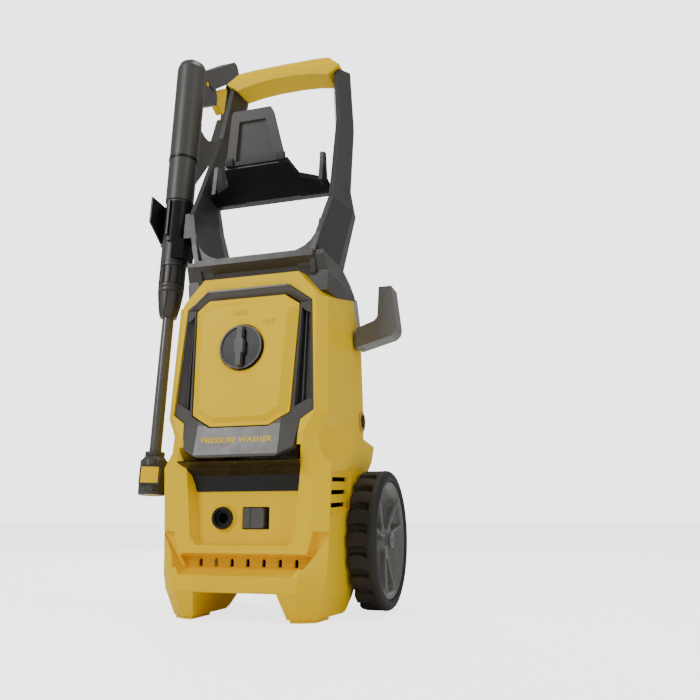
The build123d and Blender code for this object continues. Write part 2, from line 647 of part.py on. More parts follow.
with BuildPart() as valve_cover:
    rod_z(PUMP_R, HEAD_BOTTOM - COVER_DEPTH, HEAD_BOTTOM, 0, MOTOR_Y)
    with Locations((0, MOTOR_Y, HEAD_BOTTOM - COVER_DEPTH)):
        with PolarLocations(34, 4, start_angle=45):
            Cylinder(4.5, 8, mode=Mode.SUBTRACT)
save(valve_cover.part, "valve_cover")

with BuildPart() as pressure_switch:
    box_between((-66, MOTOR_Y - 13, 108), (-47, MOTOR_Y + 13, 140))
    rod_x(6.0, -48, -PUMP_R + 2, MOTOR_Y, 124)
    rod_z(PUMP_R, 90, 160, 0, MOTOR_Y, mode=Mode.SUBTRACT)
save(pressure_switch.part, "pressure_switch")

with BuildPart() as capacitor:
    rod_z(17.0, 200, 270, -78, 14)
    for y in (8, 20):
        box_between((-81, y - 0.4, 269), (-75, y + 0.4, 278))
save(capacitor.part, "capacitor")

with BuildPart() as outlet_pipe:
    rod_y(7.0, -62, BAY_Y + 20, OUTLET_X, OUTLET_Z)
    rod_y(3.0, -50, BAY_Y + 10, OUTLET_X, OUTLET_Z, mode=Mode.SUBTRACT)
save(outlet_pipe.part, "outlet_pipe")

with BuildPart() as inlet_connector:
    rod_x(INLET_R, 92, 117.4, INLET_Y, INLET_Z)
    rod_x(INLET_R + 4, 104, 108, INLET_Y, INLET_Z)
    rod_x(10.4, 103, 120, INLET_Y, INLET_Z, mode=Mode.SUBTRACT)
    rod_x(8.0, 97, 120, INLET_Y, INLET_Z, mode=Mode.SUBTRACT)
    rod_x(4.5, 90, 120, INLET_Y, INLET_Z, mode=Mode.SUBTRACT)
save(inlet_connector.part, "inlet_connector")

with BuildPart() as inlet_strainer:
    rod_x(7.8, 97, 103, INLET_Y, INLET_Z)
    rod_x(6.0, 95, 101.6, INLET_Y, INLET_Z, mode=Mode.SUBTRACT)
save(inlet_strainer.part, "inlet_strainer")

with BuildPart() as inlet_pipe:
    with BuildLine() as run:
        Spline((92, INLET_Y, INLET_Z), (76, 40, 240), (78, 10, 180), (52, MOTOR_Y, 128),
               tangents=[(-1, 0, 0), (-1, 0, 0)])
    with BuildSketch(Plane(origin=(92, INLET_Y, INLET_Z), z_dir=(-1, 0, 0))) as section:
        Circle(7.0)
        Circle(4.5, mode=Mode.SUBTRACT)
    sweep(section.sketch, path=run.line)
save(inlet_pipe.part, "inlet_pipe")

with BuildPart() as cable_gland:
    rod_y(9.0, 80, 106, GLAND_X, GLAND_Z)
    rod_y(13.0, 98, 103, GLAND_X, GLAND_Z)
    rod_y(4.2, 70, 120, GLAND_X, GLAND_Z, mode=Mode.SUBTRACT)
save(cable_gland.part, "cable_gland")

with BuildPart() as shell_screws:
    for side in (-1, 1):
        for z in SCREW_HEIGHTS:
            rod_y(2.0, 21, 56, side * SCREW_X, z)
            rod_y(4.8, 56, 60, side * SCREW_X, z)
            box_between((side * SCREW_X - 3.4, 58, z - 0.6), (side * SCREW_X + 3.4, 60, z + 0.6),
                        mode=Mode.SUBTRACT)
save(shell_screws.part, "shell_screws")

# ---------------------------------------------------------------- cable hook
with BuildPart() as cable_hook:
    rod_x(15.0, 114.8, 126, HOOK_Y, HOOK_Z)
    front_prism([(120, 378), (120, 408), (148, 418), (153, 424), (155.5, 470), (175, 470),
                 (HOOK_REACH, 408), (HOOK_REACH - 2, 399), (HOOK_REACH - 8, 393)],
                HOOK_Y + 18, HOOK_Y - 18)
    rod_x(8.95, 104, 116, HOOK_Y, HOOK_Z)
    rod_x(11.0, 104, 107.5, HOOK_Y, HOOK_Z)
save(cable_hook.part, "cable_hook")

# ---------------------------------------------------------------- spray gun and lance
GUN = Plane(origin=GUN_FOOT, x_dir=(1, 0, 0),
            z_dir=(0, sin(radians(GUN_LEAN)), cos(radians(GUN_LEAN))))
BARREL_LOW = 293.5
SHOULDER_Z = 400.0
DOME_Z = 648.0
TRIGGER_PIVOT = (60.0, 633.0)
GRIP_START = (40.0, 658.0)
GRIP_LENGTH = 132.0


def grip_outline():
    """Side view of the hand grip, a bar rising backwards from the barrel's top."""
    along = (cos(radians(GRIP_RISE)), sin(radians(GRIP_RISE)))
    across = (-along[1], along[0])
    corners = []
    for distance, offset in ((-30, 13), (-10, 17), (60, 16.5), (124, 17.5), (GRIP_LENGTH, 10),
                             (GRIP_LENGTH, -11), (124, -17), (60, -15), (0, -16)):
        corners.append((GRIP_START[0] + distance * along[0] + offset * across[0],
                        GRIP_START[1] + distance * along[1] + offset * across[1]))
    return corners


def cone_z(radius, end_radius, z_from, z_to, mode=Mode.ADD):
    """Round taper along z."""
    with Locations((0, 0, z_from)):
        Cone(radius, end_radius, z_to - z_from, align=(Align.CENTER, Align.CENTER, Align.MIN),
             mode=mode)


def gun_body():
    """Whole gun casing before it is divided into two halves."""
    rod_z(BARREL_R, BARREL_LOW, SHOULDER_Z)
    cone_z(SHOULDER_R, UPPER_R, SHOULDER_Z, DOME_Z)
    cone_z(UPPER_R, UPPER_R - 3, DOME_Z, DOME_Z + 10)
    cone_z(UPPER_R - 3, UPPER_R - 10, DOME_Z + 10, DOME_Z + 16)
    side_prism([(0, 399), (35, 399), (35, 655), (0, 660)], -5, 5)
    side_prism([(18, 604), (18, 664), (52, 676), (68, 642), (68, 626), (58, 620), (36, 604)],
               -13, 13)
    side_prism(grip_outline(), -14.5, 14.5)
    # hand guard
    side_prism([(20, 433), (100, 556), (150, 728), (136, 742), (126, 690), (90, 566), (62, 556),
                (46, 556), (34, 568), (20, 590)], -7, 7)
    side_prism([(35, 556), (35, 618), (58, 618), (104, 632), (88, 566), (60, 552), (46, 552)],
               -20, 20, mode=Mode.SUBTRACT)
    # room for the trigger and for the water tube
    side_prism([(48, 632), (60, 618), (118, 628), (128, 700), (114, 724), (66, 682), (50, 664)],
               -7.6, 7.6, mode=Mode.SUBTRACT)
    rod_z(7.0, BARREL_LOW - 5, 640, mode=Mode.SUBTRACT)
    rod_x(4.3, -30, 30, 30, 644, mode=Mode.SUBTRACT)
    rod_x(3.05, -10.5, 10.5, TRIGGER_PIVOT[0], TRIGGER_PIVOT[1], mode=Mode.SUBTRACT)


def gun_half(side):
    """One half of the casing on the given side of the parting plane."""
    gun_body()
    box_between((side * 0.05, -80, 200), (side * 60, 220, 820), mode=Mode.INTERSECT)


with BuildPart() as gun_left_half:
    gun_half(-1)
save(gun_left_half.part.moved(GUN.location), "gun_left_half")

with BuildPart() as gun_right_half:
    gun_half(1)
save(gun_right_half.part.moved(GUN.location), "gun_right_half")

with BuildPart() as gun_water_tube:
    rod_z(6.8, BARREL_LOW - 2, 636)
    rod_z(3.0, BARREL_LOW - 4, 620, mode=Mode.SUBTRACT)
save(gun_water_tube.part.moved(GUN.location), "gun_water_tube")

with BuildPart() as gun_band:
    rod_z(SHOULDER_R + 1.6, 474, 478)
    cone_z(SHOULDER_R, UPPER_R, SHOULDER_Z, DOME_Z, mode=Mode.SUBTRACT)
    box_between((-7.4, 0, 470), (7.4, 30, 480), mode=Mode.SUBTRACT)
save(gun_band.part.moved(GUN.location), "gun_band")

with BuildPart() as trigger:
    side_prism([(53, 640), (58, 622), (66, 624), (84, 640), (103, 633), (107, 640), (108, 655),
                (112, 688), (108, 692), (68, 656)], -6.8, 6.8)
    rod_x(7.0, -6.8, 6.8, TRIGGER_PIVOT[0], TRIGGER_PIVOT[1])
    rod_x(3.05, -8, 8, TRIGGER_PIVOT[0], TRIGGER_PIVOT[1], mode=Mode.SUBTRACT)
save(trigger.part.moved(GUN.location), "trigger")

with BuildPart() as trigger_pin:
    rod_x(3.0, -10.2, 10.2, TRIGGER_PIVOT[0], TRIGGER_PIVOT[1])
save(trigger_pin.part.moved(GUN.location), "trigger_pin")

with BuildPart() as safety_button:
    rod_x(4.0, -16.5, 14.0, 30, 644)
save(safety_button.part.moved(GUN.location), "safety_button")

with BuildPart() as gun_coupler:
    rod_z(19.3, 253, BARREL_LOW - 0.3)
    rod_z(FLANGE_R, BARREL_LOW - 6, BARREL_LOW - 0.3)
    with Locations((0, 0, 253)):
        with PolarLocations(19.3, 16):
            Cylinder(0.6, 26, align=(Align.CENTER, Align.CENTER, Align.MIN))
    rod_z(6.8, BARREL_LOW - 2.5, BARREL_LOW + 2, mode=Mode.SUBTRACT)
    rod_z(13.0, 240, 281, mode=Mode.SUBTRACT)
save(gun_coupler.part.moved(GUN.location), "gun_coupler")

with BuildPart() as cone_nut:
    with Locations((0, 0, 206)):
        Cone(13.0, 19.6, 40, align=(Align.CENTER, Align.CENTER, Align.MIN))
    rod_z(19.6, 246, 252.6)
    rod_z(12.6, 252.6, 279)
    rod_z(LANCE_R, 190, 264, mode=Mode.SUBTRACT)
    rod_z(4.0, 190, 290, mode=Mode.SUBTRACT)
save(cone_nut.part.moved(GUN.location), "cone_nut")

with BuildPart() as lance_tube:
    rod_z(LANCE_R, -14, 264)
    rod_z(LANCE_R - 1.6, -20, 270, mode=Mode.SUBTRACT)
save(lance_tube.part.moved(GUN.location), "lance_tube")

with BuildPart() as nozzle_body:
    rod_z(12.0, -44, 0)
    rod_z(14.0, -5, 0)
    rod_z(LANCE_R, -14, 2, mode=Mode.SUBTRACT)
    rod_z(3.0, -50, 2, mode=Mode.SUBTRACT)
save(nozzle_body.part.moved(GUN.location), "nozzle_body")

with BuildPart() as nozzle_collar:
    rod_z(19.5, -61, -6)
    rod_z(12.4, -44.4, 0, mode=Mode.SUBTRACT)
    rod_z(10.0, -70, -40, mode=Mode.SUBTRACT)
    with Locations((0, 0, -58)):
        with PolarLocations(20.3, 14):
            Cylinder(1.6, 44, align=(Align.CENTER, Align.CENTER, Align.MIN),
                     mode=Mode.SUBTRACT)
save(nozzle_collar.part.moved(GUN.location), "nozzle_collar")

with BuildPart() as nozzle_insert:
    rod_z(10.0, -61, -44.8)
    rod_z(5.0, -70, -55, mode=Mode.SUBTRACT)
    rod_z(1.2, -70, -40, mode=Mode.SUBTRACT)
save(nozzle_insert.part.moved(GUN.location), "nozzle_insert")

# ---------------------------------------------------------------- gun holder
with BuildPart() as holder_ring:
    rod_z(CLIP_OUTER, 326, 394)
    plan_prism([(-60, -60), (-2, -60), (-2, -10), (-18, -6), (-60, -6)], 290, 400,
               mode=Mode.SUBTRACT)
    # lead-in wing on the left and lips at the front
    side_prism([(-42, 352), (-6, 330), (0, 394), (-42, 394)], -CLIP_OUTER, 3 - CLIP_OUTER)
    box_between((-2, -29, 334), (1, -21, 394))
    # lower bracket behind the gun's flange
    plan_prism([(8, -24), (24.5, -16), (24.5, 16), (8, 24)], 297, 330)
    rod_z(CLIP_INNER, 290, 400, mode=Mode.SUBTRACT)
    box_between((CLIP_INNER + 1, -14, 330), (60, 14, 372))

with BuildPart() as gun_holder:
    add(holder_ring.part.moved(GUN.location))
    add(handle_frame.part, mode=Mode.SUBTRACT)
    box_between((-200, -150, 400), (-110, 60, 700), mode=Mode.INTERSECT)
save(gun_holder.part, "gun_holder")
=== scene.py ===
import json
import math

import bmesh
import bpy
from mathutils import Matrix, Vector


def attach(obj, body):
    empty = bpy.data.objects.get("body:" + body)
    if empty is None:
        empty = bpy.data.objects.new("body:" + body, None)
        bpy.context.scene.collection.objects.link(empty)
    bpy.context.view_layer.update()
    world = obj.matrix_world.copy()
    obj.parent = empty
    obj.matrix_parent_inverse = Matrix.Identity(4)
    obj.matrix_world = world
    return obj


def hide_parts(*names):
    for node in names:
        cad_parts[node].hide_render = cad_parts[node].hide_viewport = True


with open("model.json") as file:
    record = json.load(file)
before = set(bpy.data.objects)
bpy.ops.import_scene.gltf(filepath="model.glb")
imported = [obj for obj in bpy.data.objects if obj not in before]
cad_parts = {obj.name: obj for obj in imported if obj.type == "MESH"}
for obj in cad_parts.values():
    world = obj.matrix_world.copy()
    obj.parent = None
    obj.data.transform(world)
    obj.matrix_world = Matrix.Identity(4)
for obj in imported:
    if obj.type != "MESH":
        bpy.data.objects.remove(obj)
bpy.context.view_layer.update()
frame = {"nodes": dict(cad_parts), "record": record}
nodes = frame["nodes"]

# the switch panel leans back; in millimetres, the knob's disc and the lettering stand on it
PANEL_LEAN = math.atan2(14, 194)
PANEL_MIDDLE = (0, -132.5, 355.0)
PANEL_LIFT = 5.0
KNOB_FACE = 8.0


# ---------------------------------------------------------------- materials
def shader(name):
    """New material with its node tree, principled shader and object coordinates."""
    material = bpy.data.materials.new(name)
    material.use_nodes = True
    tree = material.node_tree
    principled = tree.nodes["Principled BSDF"]
    coords = tree.nodes.new("ShaderNodeTexCoord").outputs["Object"]
    return material, tree, principled, coords


def noise(tree, coords, scale, detail=3.0, rough=0.55):
    """Noise texture of the given scale, in cycles per metre."""
    texture = tree.nodes.new("ShaderNodeTexNoise")
    texture.inputs["Scale"].default_value = scale
    texture.inputs["Detail"].default_value = detail
    texture.inputs["Roughness"].default_value = rough
    tree.links.new(coords, texture.inputs["Vector"])
    return texture.outputs["Fac"]


def remap(tree, value, low, high, start=0.3, end=0.7):
    """Value between start and end mapped to low and high."""
    node = tree.nodes.new("ShaderNodeMapRange")
    node.inputs["From Min"].default_value = start
    node.inputs["From Max"].default_value = end
    node.inputs["To Min"].default_value = low
    node.inputs["To Max"].default_value = high
    tree.links.new(value, node.inputs["Value"])
    return node.outputs["Result"]


def blend(tree, factor, dark, light):
    """Colour between dark and light by the factor."""
    node = tree.nodes.new("ShaderNodeMix")
    node.data_type = "RGBA"
    node.inputs["A"].default_value = (*dark, 1)
    node.inputs["B"].default_value = (*light, 1)
    tree.links.new(factor, node.inputs["Factor"])
    return node.outputs["Result"]


def bump(tree, height, strength, distance, under=None):
    """Bump from a height value, on top of another bump if one is given."""
    node = tree.nodes.new("ShaderNodeBump")
    node.inputs["Strength"].default_value = strength
    node.inputs["Distance"].default_value = distance
    tree.links.new(height, node.inputs["Height"])
    if under is not None:
        tree.links.new(under, node.inputs["Normal"])
    return node.outputs["Normal"]


def plastic(name, colour, rough, grain=900.0, depth=0.00006, mottle=0.06, gloss=0.5, spread=0.05):
    """Moulded plastic: fine grain, a faint large mottle and uneven gloss."""
    material, tree, principled, coords = shader(name)
    cloud = noise(tree, coords, 9.0, 4.0)
    dark = tuple(c * (1 - mottle) for c in colour)
    light = tuple(min(1.0, c * (1 + mottle)) for c in colour)
    tree.links.new(blend(tree, remap(tree, cloud, 0, 1), dark, light),
                   principled.inputs["Base Color"])
    smear = noise(tree, coords, 55.0, 5.0, 0.6)
    tree.links.new(remap(tree, smear, rough - spread, rough + spread),
                   principled.inputs["Roughness"])
    wave = bump(tree, noise(tree, coords, 22.0, 2.0), 0.06, 0.0012)
    tree.links.new(bump(tree, noise(tree, coords, grain, 2.0), 0.35, depth, wave),
                   principled.inputs["Normal"])
    principled.inputs["Specular IOR Level"].default_value = gloss
    return material


def metal(name, colour, rough, brushed=(1, 1, 12), depth=0.00003):
    """Metal with a directional brushed grain and uneven gloss."""
    material, tree, principled, coords = shader(name)
    mapping = tree.nodes.new("ShaderNodeMapping")
    mapping.inputs["Scale"].default_value = brushed
    tree.links.new(coords, mapping.inputs["Vector"])
    streaks = noise(tree, mapping.outputs["Vector"], 260.0, 4.0)
    dark = tuple(c * 0.82 for c in colour)
    tree.links.new(blend(tree, remap(tree, streaks, 0, 1), dark, colour),
                   principled.inputs["Base Color"])
    tree.links.new(remap(tree, streaks, rough - 0.08, rough + 0.1),
                   principled.inputs["Roughness"])
    tree.links.new(bump(tree, streaks, 0.3, depth), principled.inputs["Normal"])
    principled.inputs["Metallic"].default_value = 1.0
    return material


YELLOW = (1.0, 0.64, 0.0)
looks = {
    "yellow_shell": plastic("yellow_shell", YELLOW, 0.42, depth=0.00003, mottle=0.02, gloss=0.12),
    "rear_grey": plastic("rear_grey", (0.40, 0.40, 0.40), 0.45),
    "bezel_grey": plastic("bezel_grey", (0.078, 0.074, 0.069), 0.34, depth=0.00004, gloss=0.6),
    "dark_frame": plastic("dark_frame", (0.044, 0.0415, 0.038), 0.34, depth=0.00006),
    "gloss_black": plastic("gloss_black", (0.010, 0.0098, 0.0095), 0.30, depth=0.00002, gloss=0.3),
    "gun_grey": plastic("gun_grey", (0.064, 0.060, 0.055), 0.36, depth=0.00007),
    "lance_grey": plastic("lance_grey", (0.090, 0.087, 0.081), 0.24, depth=0.00003, gloss=0.7),
    "tyre_black": plastic("tyre_black", (0.012, 0.0115, 0.011), 0.60, grain=600, depth=0.00015,
                          mottle=0.2),
    "rim_grey": plastic("rim_grey", (0.135, 0.13, 0.122), 0.32, depth=0.00005),
    "steel": metal("steel", (0.62, 0.63, 0.65), 0.28),
    "aluminium_casting": plastic("aluminium_casting", (0.55, 0.56, 0.57), 0.5, 500, 0.0002),
    "winding_copper": metal("winding_copper", (0.72, 0.36, 0.18), 0.35, (1, 1, 20)),
    "brass_fitting": metal("brass_fitting", (0.78, 0.58, 0.25), 0.3),
}
looks["aluminium_casting"].node_tree.nodes["Principled BSDF"].inputs["Metallic"].default_value = 0.9


def paint_hanger_shade():
    """Hanger plastic with painted shade: the floor, seen from below, is painted near-black as shade
    under a lighter upright tongue.
    """
    floor_top, tongue_foot = 0.640, 0.652
    material, tree, principled, coords = shader("hanger_painted_shade")
    height = tree.nodes.new("ShaderNodeSeparateXYZ")
    tree.links.new(coords, height.inputs["Vector"])
    uneven = tree.nodes.new("ShaderNodeMath")
    uneven.operation = "MULTIPLY_ADD"
    tree.links.new(noise(tree, coords, 30.0), uneven.inputs[0])
    uneven.inputs[1].default_value = 0.004
    tree.links.new(height.outputs["Z"], uneven.inputs[2])
    # painted shade: below the floor's top the colour is near-black, standing in for shade on the
    # underside; above the tongue's foot it is lighter
    painted_light_mask = remap(tree, uneven.outputs["Value"], 0, 1, floor_top, tongue_foot)
    tree.links.new(blend(tree, painted_light_mask, (0.007, 0.0068, 0.0064), (0.058, 0.055, 0.051)),
                   principled.inputs["Base Color"])
    tree.links.new(remap(tree, noise(tree, coords, 55.0, 5.0), 0.30, 0.38),
                   principled.inputs["Roughness"])
    tree.links.new(bump(tree, noise(tree, coords, 900.0, 2.0), 0.3, 0.00003),
                   principled.inputs["Normal"])
    return material


def paint_knob_highlight():
    """Knob plastic: a black disc whose raised rim and bar get a painted highlight, a lighter colour
    standing for the light they catch.
    """
    material, tree, principled, coords = shader("knob_painted_highlight")
    outward = Vector((0, -math.cos(PANEL_LEAN), math.sin(PANEL_LEAN)))
    disc_face = (outward.dot(Vector(PANEL_MIDDLE)) + KNOB_FACE) / 1000
    lift = tree.nodes.new("ShaderNodeVectorMath")
    lift.operation = "DOT_PRODUCT"
    tree.links.new(coords, lift.inputs[0])
    lift.inputs[1].default_value = outward
    # painted highlight: the rim and bar, raised above the disc face, get a lighter colour than the
    # disc
    painted_light_mask = remap(tree, lift.outputs["Value"], 0, 1, disc_face + 0.0005, disc_face + 0.0013)
    tree.links.new(blend(tree, painted_light_mask,
                         (0.007, 0.007, 0.0068), (0.075, 0.073, 0.070)),
                   principled.inputs["Base Color"])
    tree.links.new(remap(tree, noise(tree, coords, 60.0, 4.0), 0.28, 0.36),
                   principled.inputs["Roughness"])
    tree.links.new(bump(tree, noise(tree, coords, 1100.0, 2.0), 0.25, 0.00002),
                   principled.inputs["Normal"])
    principled.inputs["Specular IOR Level"].default_value = 0.3
    return material


# ---------------------------------------------------------------- finish of the CAD nodes
# edge rounding in millimetres; nodes that a detailed piece replaces have none
ROUNDING = {
    "front_shell": 2.2, "rear_shell": 2.0, "centre_panel": 2.2, "bay_tray": 0.7,
    "handle_frame": 4.2, "handle_grip": 3.0, "hose_hanger": 1.4, "gun_holder": 1.0,
    "gun_left_half": 1.0, "gun_right_half": 1.0, "trigger": 1.2, "cable_hook": 1.8,
    "switch_knob": 0.7, "lock_slider": 0.5, "nozzle_insert": 0.5, "outlet_connector": 0.5,
    "mains_switch": 0.4, "chassis": 0.8,
}


def round_edges(obj, width_mm, segments=3):
    """Bevel on every real edge, with normals that keep the flats flat."""
    bevel = obj.modifiers.new("edges", "BEVEL")
    bevel.width = width_mm / 1000
    bevel.segments = segments
    bevel.limit_method = "ANGLE"
    bevel.angle_limit = math.radians(22)
    bevel.harden_normals = True
    bevel.use_clamp_overlap = True


for entry in frame["record"]["subparts"]:
    obj = nodes[entry["node"]]
    obj.data.materials.clear()
    obj.data.materials.append(looks[entry["material_slot"]])
    if entry["node"] in ROUNDING:
        round_edges(obj, ROUNDING[entry["node"]])
# the hanger's colour carries painted shade on its floor
nodes["hose_hanger"].data.materials[0] = paint_hanger_shade()
# the knob's colour carries a painted highlight on its rim and bar
nodes["switch_knob"].data.materials[0] = paint_knob_highlight()


# ---------------------------------------------------------------- mesh helpers
def piece(name, mesh_builder, node_names, body, slot_name, rounding=0.0):
    """Object from a bmesh in millimetres, riding on a body in place of the named CAD nodes."""
    mesh = bpy.data.meshes.new(name)
    bmesh.ops.scale(mesh_builder, vec=(0.001, 0.001, 0.001), verts=mesh_builder.verts)
    bmesh.ops.recalc_face_normals(mesh_builder, faces=mesh_builder.faces)
    mesh_builder.to_mesh(mesh)
    mesh_builder.free()
    obj = bpy.data.objects.new(name, mesh)
    bpy.context.collection.objects.link(obj)
    mesh.materials.append(looks[slot_name])
    if node_names:
        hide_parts(*node_names)
    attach(obj, body)
    if rounding:
        round_edges(obj, rounding)
    return obj


def grid_faces(builder, rows, close_columns=True):
    """Joins rows of points with quads; each row is a list of positions of the same length."""
    made = [[builder.verts.new(point) for point in row] for row in rows]
    count = len(rows[0])
    columns = count if close_columns else count - 1
    for lower, upper in zip(made, made[1:]):
        for i in range(columns):
            j = (i + 1) % count
            builder.faces.new((lower[i], lower[j], upper[j], upper[i]))
    return made


def smooth(obj):
    """Smooth shading on every face."""
    for polygon in obj.data.polygons:
        polygon.use_smooth = True


def ease(value, low, high):
    """Smooth step from 0 at low to 1 at high."""
    t = max(0.0, min(1.0, (value - low) / (high - low)))
    return t * t * (3 - 2 * t)


# ---------------------------------------------------------------- wheels
WHEEL_Y, WHEEL_Z = 51.0, 99.0
BLOCKS = 20
TREAD_FLOOR, TREAD_TOP = 91.5, 98.6
TYRE_STEPS, RIM_STEPS, CAP_STEPS = 480, 540, 64
SPOKES = [math.radians(degrees) for degrees in (32, 152, 272)]


def wheel_point(side, x, r, angle):
    """Point on a wheel: distance from the middle plane, radius and angle from straight back."""
    return (side * x, WHEEL_Y + r * math.cos(angle), WHEEL_Z + r * math.sin(angle))


def tread_radius(x, angle):
    """Radius of the tyre's running surface, with blocks that lean and a scalloped shoulder."""
    turn = angle * BLOCKS / (2 * math.pi) + 0.5
    lean = 0.10 * math.sin((x - 122) / 26 * math.pi)
    phase = (turn + lean) % 1.0
    edge = abs(phase - 0.5)
    block = 1 - ease(edge, 0.29, 0.37)
    shoulder = 146.5 + 2.0 * math.cos(2 * math.pi * phase)
    outside = ease(x, shoulder, shoulder + 1.6)
    return TREAD_FLOOR + (TREAD_TOP - TREAD_FLOOR) * max(block, outside)


def tyre_profile(angle):
    """Cross-section of the tyre at one angle, from the inner bead round to the outer bead."""
    points = [(122.6, 84.3), (121.3, 87.0), (121.2, 91.0)]
    for step in range(19):
        x = 121.9 + step * 1.45
        points.append((x, tread_radius(max(x, 122.4), angle) - (0.8 if step == 0 else 0.0)))
    points += [(149.2, 98.75), (151.5, 98.95), (154.5, 98.7), (157.2, 97.6), (159.3, 95.6),
               (160.5, 92.6), (160.9, 89.6), (160.7, 86.8), (159.8, 85.0), (158.6, 84.2),
               (140.0, 84.1)]
    return points


def rim_face(r, angle):
    """Distance of the rim's outer face from the middle plane."""
    dish = 143.0 + 13.5 * ease(r, 60, 79) - 1.5 * ease(r, 14, 40)
    height = 0.0
    for spoke in SPOKES:
        off = (angle - spoke + math.pi) % (2 * math.pi) - math.pi
        if abs(off) > 1.5:
            continue
        along = r * math.cos(off)
        across = abs(r * math.sin(off))
        half = 8.0 + 15.0 * ease(along, 14, 80)
        inner = half - 5.2
        body = 1 - ease(across, half - 0.8, half + 0.8)
        window = (1 - ease(across, inner - 0.8, inner + 0.8)) * ease(along, 27, 30)
        window *= 1 - ease(along, 70, 73)
        height = max(height, body * (1 - window))
    height = max(height, 1 - ease(r, 15, 17.5))
    top = 151.0 + 6.0 * ease(r, 12, 80)
    return dish + (max(top, dish) - dish) * height


def build_wheel(side, name_end):
    """Tyre with tread blocks, dished three-spoke rim and hub cap of one side."""
    body = "wheel_" + name_end
    tyre = bmesh.new()
    rows = []
    for i in range(TYRE_STEPS):
        angle = 2 * math.pi * i / TYRE_STEPS
        rows.append([wheel_point(side, x, r, angle) for x, r in tyre_profile(angle)])
    rows.append(rows[0])
    grid_faces(tyre, rows)
    bmesh.ops.remove_doubles(tyre, verts=tyre.verts, dist=0.001)
    smooth(piece("tread_" + name_end, tyre, ["tyre_" + name_end], body, "tyre_black"))

    rim = bmesh.new()
    radii = [8.1, 10, 12.5, 14, 16, 18] + [18 + 0.9 * k for k in range(1, 68)]
    rows = []
    for r in radii:
        row = []
        for i in range(RIM_STEPS):
            angle = 2 * math.pi * i / RIM_STEPS
            row.append(wheel_point(side, rim_face(r, angle), r, angle))
        rows.append(row)
    rings = [(157.4, 79.4), (158.0, 80.4), (158.0, 82.4), (157.2, 83.6), (150, 83.9),
             (124, 83.9), (124, 80.5), (138, 78.0), (138, 8.1)]
    for x, r in rings:
        rows.append([wheel_point(side, x, r, 2 * math.pi * i / RIM_STEPS)
                     for i in range(RIM_STEPS)])
    rows.append(rows[0])
    grid_faces(rim, rows)
    bmesh.ops.remove_doubles(rim, verts=rim.verts, dist=0.001)
    smooth(piece("dish_" + name_end, rim, ["rim_" + name_end], body, "rim_grey"))

    cap = bmesh.new()
    rows = []
    for x, r in ((157.0, 6.0), (157.0, 12.5), (159.2, 12.4), (160.4, 11.2), (160.8, 9.0),
                 (160.2, 7.2), (159.8, 4.0), (159.8, 0.6)):
        rows.append([wheel_point(side, x, r, 2 * math.pi * i / CAP_STEPS)
                     for i in range(CAP_STEPS)])
    rows.append(rows[0])
    grid_faces(cap, rows)
    bmesh.ops.remove_doubles(cap, verts=cap.verts, dist=0.001)
    smooth(piece("hub_" + name_end, cap, ["hub_cap_" + name_end], body, "rim_grey"))


build_wheel(-1, "left")
build_wheel(1, "right")


# ---------------------------------------------------------------- bezel round the switch panel
def bezel_y(x, z):
    """Front surface of the bezel before its recesses."""
    if z > 250:
        y = -126 - 14 * (446 - z) / 196
    elif z > 210:
        y = -140 - 10 * (250 - z) / 40
    else:
        y = -150 + 4 * (210 - z) / 6
    return y + max(0.0, (abs(x) - 60) / 46 * 11)


BEZEL_DEPTH = 16.0


def raised(builder, outline):
    """Prism down to the bezel's back: the outline gives x, z and the depth under the surface."""
    small = bmesh.new()
    layer = small.verts.layers.float.new("depth")
    corners = []
    for x, z, depth in outline:
        vert = small.verts.new((x, 0, z))
        vert[layer] = depth
        corners.append(vert)
    small.faces.new(corners)
    for place, normal in (((60, 0, 0), (1, 0, 0)), ((-60, 0, 0), (1, 0, 0)),
                          ((0, 0, 250), (0, 0, 1)), ((0, 0, 210), (0, 0, 1))):
        bmesh.ops.bisect_plane(small, geom=small.verts[:] + small.edges[:] + small.faces[:],
                               plane_co=place, plane_no=normal)
    front = [face.verts[:] for face in small.faces]
    border = [edge.verts[:] for edge in small.edges if edge.is_boundary]
    top = {}
    bottom = {}
    for vert in small.verts:
        x, _, z = vert.co
        top[vert] = builder.verts.new((x, bezel_y(x, z) + vert[layer], z))
        bottom[vert] = builder.verts.new((x, bezel_y(x, z) + BEZEL_DEPTH, z))
    for verts in front:
        builder.faces.new([top[v] for v in verts])
        builder.faces.new([bottom[v] for v in reversed(verts)])
    for a, b in border:
        builder.faces.new((top[a], top[b], bottom[b], bottom[a]))
    small.free()


def flat(points, depth):
    """Adds the same depth to every point of an outline."""
    return [(x, z, depth) for x, z in points]


def mirrored(points):
    """Outline mirrored to the other side."""
    return [(-x, z, depth) for x, z, depth in points]


# the bezel's chin, its top edge and the slope under it, each across the whole width
chin = flat([(-102.0, 267.9), (-84.2, 255.4), (-79.0, 218.6), (-56.1, 207.0),
             (56.1, 207.0), (79.0, 218.6), (84.2, 255.4), (102.0, 267.9),
             (101.2, 282.4), (95.0, 282.4), (76.4, 271.6), (73.2, 271.6), (72.6, 264.0),
             (43.2, 246.6), (-43.2, 246.6), (-72.6, 264.0), (-73.2, 271.6),
             (-76.4, 271.6), (-95.0, 282.4), (-101.2, 282.4)], 0.0)
top_edge = flat([(-60.7, 444.3), (60.7, 444.3), (60.1, 441.6), (-60.1, 441.6)], 0.0)
top_slope = [(-60.1, 441.6, 1.2), (60.1, 441.6, 1.2), (58.4, 431.0, 9.0), (-58.4, 431.0, 9.0)]
